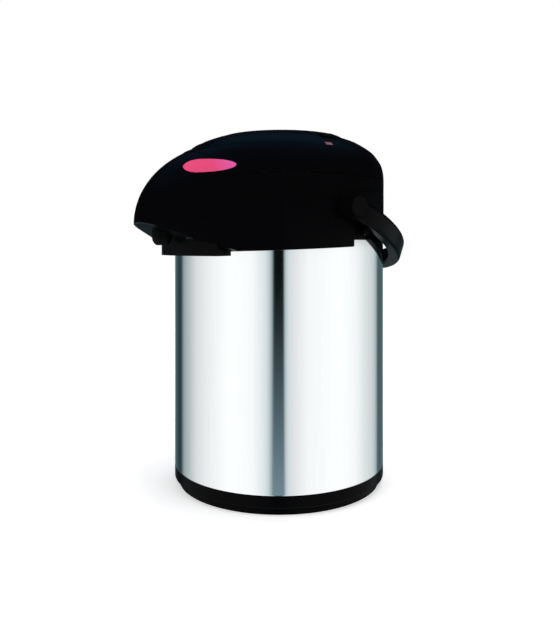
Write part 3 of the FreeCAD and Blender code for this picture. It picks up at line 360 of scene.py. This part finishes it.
# in front of the step the top follows the head's rim, which rises towards the back, and behind it
# the tube stays full height inside the head
RIM_AT_MIDDLE, RIM_SLOPE = 196.0, 3.8 / 88.5
RIM_STEP = SHELL_RADIUS * math.sin(math.radians(5))
EDGE_BAND, EDGE_ROUND = 0.5, 0.12
FOOT_ROLL, ROLL_HEIGHT = 0.45, 1.4
WELD_DEPTH, WELD_HALF_WIDTH = 0.12, 0.2
SAME_HEIGHT = 0.01
low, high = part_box("outer_shell")
bpy.ops.object.select_all(action="DESELECT")
bpy.ops.mesh.primitive_cylinder_add(vertices=SHELL_SIDES, radius=SHELL_RADIUS * MM,
                                    depth=high[2] - low[2], end_fill_type="NOTHING",
                                    location=(0, 0, (high[2] + low[2]) / 2))
shell = bpy.context.object
shell.name = "polished_steel_shell"
bpy.ops.object.transform_apply()
edit(shell, "FACE")
for drop in (0, EDGE_BAND):
    bpy.ops.mesh.select_all(action="SELECT")
    bpy.ops.mesh.bisect(plane_co=(0, 0, (RIM_AT_MIDDLE - drop) * MM), plane_no=(0, -RIM_SLOPE, 1))
choose(shell, "faces", lambda at: at.y < RIM_STEP and at.z > RIM_AT_MIDDLE + RIM_SLOPE * at.y)
bpy.ops.mesh.delete(type="FACE")
bpy.ops.mesh.select_all(action="SELECT")
bpy.ops.mesh.bisect(plane_co=(0, 0, high[2] - EDGE_BAND * MM), plane_no=(0, 0, 1))
for rise in (ROLL_HEIGHT, ROLL_HEIGHT / 2):
    bpy.ops.mesh.select_all(action="SELECT")
    bpy.ops.mesh.bisect(plane_co=(0, 0, low[2] + rise * MM), plane_no=(0, 0, 1))
for rise, roll in ((0, FOOT_ROLL), (ROLL_HEIGHT / 2, FOOT_ROLL / 4)):
    choose(shell, "verts", lambda at: abs(at.z - low[2] / MM - rise) < SAME_HEIGHT)
    shrink = 1 - roll / SHELL_RADIUS
    bpy.ops.transform.resize(value=(shrink, shrink, 1), center_override=(0, 0, low[2]))
choose(shell, "verts", lambda at: at.y > SHELL_RADIUS / 2 and abs(at.x) < WELD_HALF_WIDTH)
bpy.ops.transform.translate(value=(0, -WELD_DEPTH * MM, 0))
close(30)
modify(shell, "SOLIDIFY", thickness=SHELL_WALL * MM, offset=-1, use_even_offset=True)
modify(shell, "BEVEL", width=EDGE_ROUND * MM, segments=2, limit_method="ANGLE",
       angle_limit=math.radians(60))
modify(shell, "WEIGHTED_NORMAL", keep_sharp=True)
# mirror-polished stainless steel: bright, with polishing lines that run up it, drawn 0.8 mm wide
# because the real ones are too fine to show
polished_steel = spun_steel("mirror_polished_stainless", "#f4f6f6", "#edf0f1",
                            rough=0.055, line=0.8, stretch=(1, 1, 90))
shell.data.materials.append(polished_steel)
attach(shell, "jug")
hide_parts("outer_shell")

# ---------------------------------------------------------------- shoulder and mouth
# The fixed half of the head: a gloss black moulding with the spout nose, over the bottle's neck.
# A white mouth ring is screwed down inside it and the milky water pipes pass through.

# natural polypropylene: a food-safe white, slightly warm and half matt
white_pp = moulded("natural_white_polypropylene", "#e6e5dd", "#dedcd3",
                   rough=0.42, grain=1.0, depth=0.015, gloss=0.45)
# black polypropylene from a grained mould: an even satin black with no clear highlight
satin_black = moulded("grained_black_polypropylene", "#060607", "#09090a",
                      rough=0.42, grain=0.45, depth=0.03, gloss=0.045)
# extruded polypropylene pipe: milky, so that light passes through its wall and softens it, with
# faint clouds
CLOUD = 12
milky_pipe, tree = new_material("milky_polypropylene_pipe")
place = add_node(tree, "TexCoord")
cloud = add_node(tree, "TexNoise", {"Scale": 1 / (CLOUD * MM), "Detail": 2},
                 {"Vector": place.outputs["Object"]})
tint = add_node(tree, "MixRGB", {1: linear("#dfe3e1"), 2: linear("#cfd5d3")}, {0: cloud.outputs[0]})
haze = add_node(tree, "MapRange", {"To Min": 0.22, "To Max": 0.38}, {"Value": cloud.outputs[0]})
shader = add_node(tree, "BsdfPrincipled", {"IOR": 1.49, "Transmission Weight": 0.35},
                  {"Base Color": tint.outputs[0], "Roughness": haze.outputs[0]})
add_node(tree, "OutputMaterial", links={0: shader.outputs[0]})
dress(gloss_black, "shoulder")
dress(white_pp, "mouth_ring")
dress(zinc, "mouth_ring_screws")
dress(milky_pipe, "dip_tube", "outlet_pipe")
dress(silicone, "pipe_seal")

# ---------------------------------------------------------------- spout cover and nozzle
# The nose's underside is closed by a grained cover with a drip lip, and a turned-down nozzle with a
# rounded mouth stands through it at the end of the water pipe.


def turn(name, rings, centre, sides, cap):
    """A turned piece: a circle at the first radius and height, extruded and scaled to each of the
    next, then capped at its first ring or bridged from its last ring back to its first."""
    bpy.ops.object.select_all(action="DESELECT")
    x, y = centre[0] * MM, centre[1] * MM
    bpy.ops.mesh.primitive_circle_add(vertices=sides, radius=rings[0][0] * MM,
                                      location=(x, y, rings[0][1] * MM))
    piece = bpy.context.object
    piece.name = name
    bpy.ops.object.transform_apply()
    edit(piece, "EDGE")
    bpy.ops.mesh.select_all(action="SELECT")
    for (before, start), (after, end) in zip(rings, rings[1:]):
        step = (0, 0, (end - start) * MM)
        bpy.ops.mesh.extrude_region_move(TRANSFORM_OT_translate={"value": step})
        size = after / before
        bpy.ops.transform.resize(value=(size, size, 1), center_override=(x, y, end * MM))
    bpy.ops.mesh.select_all(action="SELECT")
    bpy.ops.mesh.remove_doubles(threshold=0.001 * MM)
    bpy.ops.mesh.select_all(action="DESELECT")
    bpy.ops.mesh.select_non_manifold()
    if cap:
        bpy.ops.mesh.edge_face_add()
    else:
        bpy.ops.mesh.bridge_edge_loops()
    return piece


def arc(centre, reach, start, end, steps):
    """Rings along part of an ellipse, from its centre and its reach outwards and up, in
    millimetres, between two angles in degrees."""
    angles = [math.radians(start + (end - start) * step / steps) for step in range(steps + 1)]
    return [(centre[0] + reach[0] * math.cos(angle), centre[1] + reach[1] * math.sin(angle))
            for angle in angles]


low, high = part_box("nozzle")
NOZZLE_RADIUS, MOUTH_ROUND, MOUTH_RISE = 7.5, 7.0, 6.0
MOUTH_BORE, PIPE_BORE, PIPE_STOP = 3.6, 4.6, 7.0
tip, root = low[2] / MM, high[2] / MM
spout_y = (low[1] + high[1]) / 2 / MM
nozzle = turn("nozzle_tip", [
    (NOZZLE_RADIUS, root),
    *arc((NOZZLE_RADIUS - MOUTH_ROUND, tip + MOUTH_RISE), (MOUTH_ROUND, MOUTH_ROUND), 0, -59, 9),
    (MOUTH_BORE + 0.15, tip + 0.15), (MOUTH_BORE, tip + 0.6), (MOUTH_BORE, tip + PIPE_STOP - 0.1),
    (PIPE_BORE, tip + PIPE_STOP), (PIPE_BORE, root)],
    centre=(0, spout_y), sides=64, cap=False)
close(40)
nozzle.data.materials.append(satin_black)
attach(nozzle, "jug")
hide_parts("nozzle")
dress(satin_black, "spout_cover")
# black oxide on steel: a thin, dark, slightly oily coat with a fine mottle
MOTTLE = 1.1
black_oxide, tree = new_material("black_oxide_steel")
place = add_node(tree, "TexCoord")
mottle = add_node(tree, "TexNoise", {"Scale": 1 / (MOTTLE * MM), "Detail": 3},
                  {"Vector": place.outputs["Object"]})
tint = add_node(tree, "MixRGB", {1: linear("#151517"), 2: linear("#1f1f22")},
                {0: mottle.outputs[0]})
oil = add_node(tree, "MapRange", {"To Min": 0.38, "To Max": 0.55}, {"Value": mottle.outputs[0]})
shader = add_node(tree, "BsdfPrincipled", {"Metallic": 0.6},
                  {"Base Color": tint.outputs[0], "Roughness": oil.outputs[0]})
add_node(tree, "OutputMaterial", links={0: shader.outputs[0]})
dress(black_oxide, "cover_screws")

# ---------------------------------------------------------------- lid
# The hinged half of the head: a gloss black cover over a white base that carries the pump, with a
# silicone seal round the mouth and an air valve below.
dress(gloss_black, "lid_cover")
dress(white_pp, "lid_base")
dress(silicone, "lid_gasket", "air_valve", "intake_valve")
dress(zinc, "lid_screws", "hinge_pin")

# ---------------------------------------------------------------- push plate
# The pump's button: a crowned plate with a rolled edge, a shadow groove and a shallow dish for the
# palm, hollow below with a boss over the bellows. The pump stands 2 mm behind the jug's middle.
PUMP = (0, 2.0)
PLATE_FOOT, PLATE_ROOF, CROWN, DISH = 279.0, 284.4, 290.0, 288.75
plate = turn("push_plate_button", [
    # the boss over the bellows, the hollow round it and the skirt
    (6.0, 283.0), (24.9, 283.0), (24.9, PLATE_FOOT + 0.2), (25.2, PLATE_FOOT),
    (26.6, PLATE_FOOT), (26.9, PLATE_FOOT + 0.3), (26.9, PLATE_ROOF), (50.8, PLATE_ROOF),
    (50.8, PLATE_FOOT + 0.3), (51.1, PLATE_FOOT), (52.7, PLATE_FOOT), (53.0, PLATE_FOOT + 0.3),
    # the rolled edge, then the shadow groove between its two rounded edges
    *arc((50.6, 285.6), (2.4, 1.8), 0, 90, 5), (48.0, 287.6),
    *arc((44.8, 287.1), (0.6, 0.75), 75, 180, 5), (43.0, 287.1),
    *arc((42.2, 287.1), (0.65, 1.05), 15, 90, 4),
    # the crown, and the dish in its middle
    (38.0, 288.6), (33.0, 289.2), *arc((25.0, CROWN - 3.4), (10.0, 3.4), 60, 102, 7),
    (20.5, 289.45), (18.0, 289.1), (15.0, DISH + 0.2), (8.0, DISH + 0.05), (2.0, DISH),
    (0.0001, DISH)], centre=PUMP, sides=128, cap=True)
close(35)
plate.data.materials.append(gloss_black)
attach(plate, "push_button")
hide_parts("push_plate")

# ---------------------------------------------------------------- bellows and return spring
# The pump's bellows is blow-moulded in milky polyethylene with eight folds, and a bright steel
# spring inside it lifts the plate again. On the real pump both shorten as the plate goes down; here
# they are built at one length.
FOLDS, FOLD_OUT, FOLD_IN, BELLOWS_WALL = 8, 24.5, 19.5, 0.8
RIDGE_ROUND, VALLEY_ROUND = 0.6, 0.25
low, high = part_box("bellows")
foot, top = low[2] / MM, high[2] / MM
pitch = (top - foot) / FOLDS
rings = [(FOLD_IN, foot)]
for fold in range(FOLDS):
    base = foot + fold * pitch
    rings += [(FOLD_IN + VALLEY_ROUND, base + 0.12 * pitch),
              (FOLD_OUT - RIDGE_ROUND, base + 0.4 * pitch), (FOLD_OUT, base + 0.5 * pitch),
              (FOLD_OUT - RIDGE_ROUND, base + 0.6 * pitch),
              (FOLD_IN + VALLEY_ROUND, base + 0.88 * pitch)]
rings.append((FOLD_IN, top))
inside = [(radius - BELLOWS_WALL, height) for radius, height in reversed(rings)]
bellows = turn("pump_bellows", rings + inside, centre=PUMP, sides=96, cap=False)
close(60)
# blow-moulded polyethylene: milky white with a waxy sheen
milky_pe = moulded("milky_polyethylene", "#d9dddb", "#cdd2d0",
                   rough=0.38, grain=1.4, depth=0.02, gloss=0.45)
bellows.data.materials.append(milky_pe)
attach(bellows, "lid")
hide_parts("bellows")
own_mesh(bellows)

COIL_RADIUS, WIRE_RADIUS, TURNS = 13.0, 0.8, 7
WIRE_SIDES, TURN_STEPS = 10, 28
low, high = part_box("return_spring")
foot, top = low[2] / MM, high[2] / MM
bpy.ops.object.select_all(action="DESELECT")
bpy.ops.mesh.primitive_circle_add(vertices=WIRE_SIDES, radius=WIRE_RADIUS * MM,
                                  rotation=(math.pi / 2, 0, 0),
                                  location=(0, PUMP[1] * MM, (foot + WIRE_RADIUS) * MM))
spring = bpy.context.object
spring.name = "pump_return_spring"
bpy.ops.object.transform_apply(location=False)
edit(spring, "VERT")
bpy.ops.mesh.select_all(action="SELECT")
bpy.ops.transform.translate(value=(COIL_RADIUS * MM, 0, 0))
bpy.ops.object.mode_set(mode="OBJECT")
modify(spring, "SCREW", axis="Z", angle=2 * math.pi, iterations=TURNS, steps=TURN_STEPS,
       render_steps=TURN_STEPS, screw_offset=(top - foot - 2 * WIRE_RADIUS) / TURNS * MM)
bpy.ops.object.transform_apply()
edit(spring, "EDGE")
bpy.ops.mesh.select_non_manifold()
bpy.ops.mesh.fill_holes(sides=0)
close(60)
spring.data.materials.append(zinc)
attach(spring, "lid")
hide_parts("return_spring")
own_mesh(spring)

# ---------------------------------------------------------------- latch
# The lid's catch is a pressed-down lever at the front, gloss black, with moulded grip ribs that
# follow its slope. It turns on a bright pin against a small coil spring.
dress(gloss_black, "latch_lever")
dress(zinc, "latch_pin", "latch_spring")


def grip_ribs(name, node, places, length, width, rise, cuts):
    """Moulded ribs across x at these y places, laid on a node's top and rounded, in millimetres.
    The cuts are the steps in which each rib follows the surface."""
    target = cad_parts[node]
    low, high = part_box(node)
    middle = (low[0] + high[0]) / 2
    ribs = []
    for back in places:
        # the height of the slope here, found by looking straight down on it
        above = Vector((middle, back * MM, high[2] + 10 * MM))
        _, spot, facing, _ = target.ray_cast(above, Vector((0, 0, -1)))
        bpy.ops.object.select_all(action="DESELECT")
        bpy.ops.mesh.primitive_plane_add(size=1, location=spot + facing * rise * MM,
                                         rotation=(math.atan2(-facing.y, facing.z), 0, 0))
        rib = bpy.context.object
        rib.scale = (length * MM, width * MM, 1)
        bpy.ops.object.transform_apply()
        edit(rib, "EDGE")
        bpy.ops.mesh.select_all(action="SELECT")
        bpy.ops.mesh.subdivide(number_cuts=cuts)
        bpy.ops.object.mode_set(mode="OBJECT")
        modify(rib, "SHRINKWRAP", target=target, wrap_method="NEAREST_SURFACEPOINT",
               wrap_mode="ABOVE_SURFACE", offset=rise * MM)
        modify(rib, "SOLIDIFY", thickness=1.6 * rise * MM, offset=-1)
        modify(rib, "BEVEL", width=0.4 * rise * MM, segments=3, limit_method="ANGLE",
               angle_limit=math.radians(50))
        ribs.append(rib)
    bpy.ops.object.select_all(action="DESELECT")
    for rib in ribs:
        rib.select_set(True)
    bpy.context.view_layer.objects.active = ribs[0]
    bpy.ops.object.join()
    grip = bpy.context.object
    grip.name = name
    edit(grip, "FACE")
    close(40)
    grip.data.materials.append(satin_black)
    return grip


FRONT_RIB, LATCH_RIB_PITCH = -84.5, 2.9
latch_grip = grip_ribs("latch_grip_ribs", "latch_lever",
                       [FRONT_RIB + LATCH_RIB_PITCH * n for n in range(5)],
                       length=30, width=1.3, rise=0.55, cuts=11)
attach(latch_grip, "latch")

# ---------------------------------------------------------------- lock slide and its mark
# A grained thumb slide with five ridges, which locks the plate, and a dull red mark beside it that
# is pad-printed on the lid in one colour.
RIDGE_PITCH = 2.4
dress(satin_black, "lock_slide")
slide_grip = grip_ribs("lock_slide_ridges", "lock_slide",
                       [RIDGE_PITCH * n for n in range(-2, 3)],
                       length=6.2, width=1.1, rise=0.5, cuts=3)
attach(slide_grip, "lock")
# pad-printing ink: a thin, flat, dull red with an uneven gloss
dull_red_ink = moulded("dull_red_pad_printing_ink", "#80505c", "#784854",
                       rough=0.5, grain=0.3, depth=0.01, gloss=0.2)
dress(dull_red_ink, "lock_mark")

# ---------------------------------------------------------------- badge pads
# On each side of the nose sits a pink foil pad under clear domed resin, left plain. Towards the
# pad's pointed end a painted glare lays a lighter violet over the pink, and the foil's fine flakes
# show as a faint mottle.
# where the painted glare starts and where it is full along y, then the flake size and the edge
# round, in millimetres
GLARE_TINT_START, GLARE_TINT_FULL, FLAKE, PAD_EDGE_ROUND = -86, -74, 0.7, 0.3
foil, tree = new_material("pink_foil_under_clear_resin")
place = add_node(tree, "TexCoord")
along = add_node(tree, "SeparateXYZ", links={0: place.outputs["Object"]})
# a mask along y for the painted glare at the pad's pointed end
reach = add_node(tree, "MapRange", {"From Min": GLARE_TINT_START * MM, "From Max": GLARE_TINT_FULL * MM},
                 {"Value": along.outputs[1]})
foil_and_painted_glare = add_node(tree, "ValToRGB", links={0: reach.outputs[0]})
# the first stop is the foil's own pink, the second a painted glare: a lighter violet towards the
# pointed end
foil_and_painted_glare.color_ramp.elements[0].color = linear("#e84a7a")
foil_and_painted_glare.color_ramp.elements[1].color = linear("#e55eaf")
grain = add_node(tree, "TexNoise", {"Scale": 1 / (FLAKE * MM), "Detail": 2},
                 {"Vector": place.outputs["Object"]})
flake = add_node(tree, "MixRGB", {"blend_type": "MULTIPLY", 2: (0.86, 0.8, 0.84, 1)},
                 {0: grain.outputs[0], 1: foil_and_painted_glare.outputs[0]})
polish = add_node(tree, "MapRange", {"To Min": 0.2, "To Max": 0.34}, {"Value": grain.outputs[0]})
shader = add_node(tree, "BsdfPrincipled", {"IOR": 1.49, "Specular IOR Level": 0.2,
                                           "Coat Weight": 0.15, "Coat Roughness": 0.08},
                  {"Base Color": flake.outputs[0], "Roughness": polish.outputs[0]})
add_node(tree, "OutputMaterial", links={0: shader.outputs[0]})
for side in ("right", "left"):
    pad = bpy.data.objects.new("badge_pad_" + side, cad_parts["badge_" + side].data.copy())
    scene.collection.objects.link(pad)
    pad.data.materials.clear()
    pad.data.materials.append(foil)
    edit(pad, "FACE")
    bpy.ops.mesh.customdata_custom_splitnormals_clear()
    bpy.ops.mesh.select_all(action="SELECT")
    bpy.ops.mesh.remove_doubles(threshold=0.004 * MM)
    bpy.ops.mesh.dissolve_degenerate(threshold=0.01 * MM)
    close(40)
    modify(pad, "BEVEL", width=PAD_EDGE_ROUND * MM, segments=3, limit_method="ANGLE",
           angle_limit=math.radians(50))
    modify(pad, "WEIGHTED_NORMAL", keep_sharp=False)
    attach(pad, "jug")
    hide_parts("badge_" + side)

# ---------------------------------------------------------------- bail handle
# The bail is a thick gloss black polypropylene moulding with a round eye at each end. It swings on
# the two bosses at the head's sides and is held there by flush screws.
dress(gloss_black, "bail_handle")
dress(satin_black, "bail_screws")
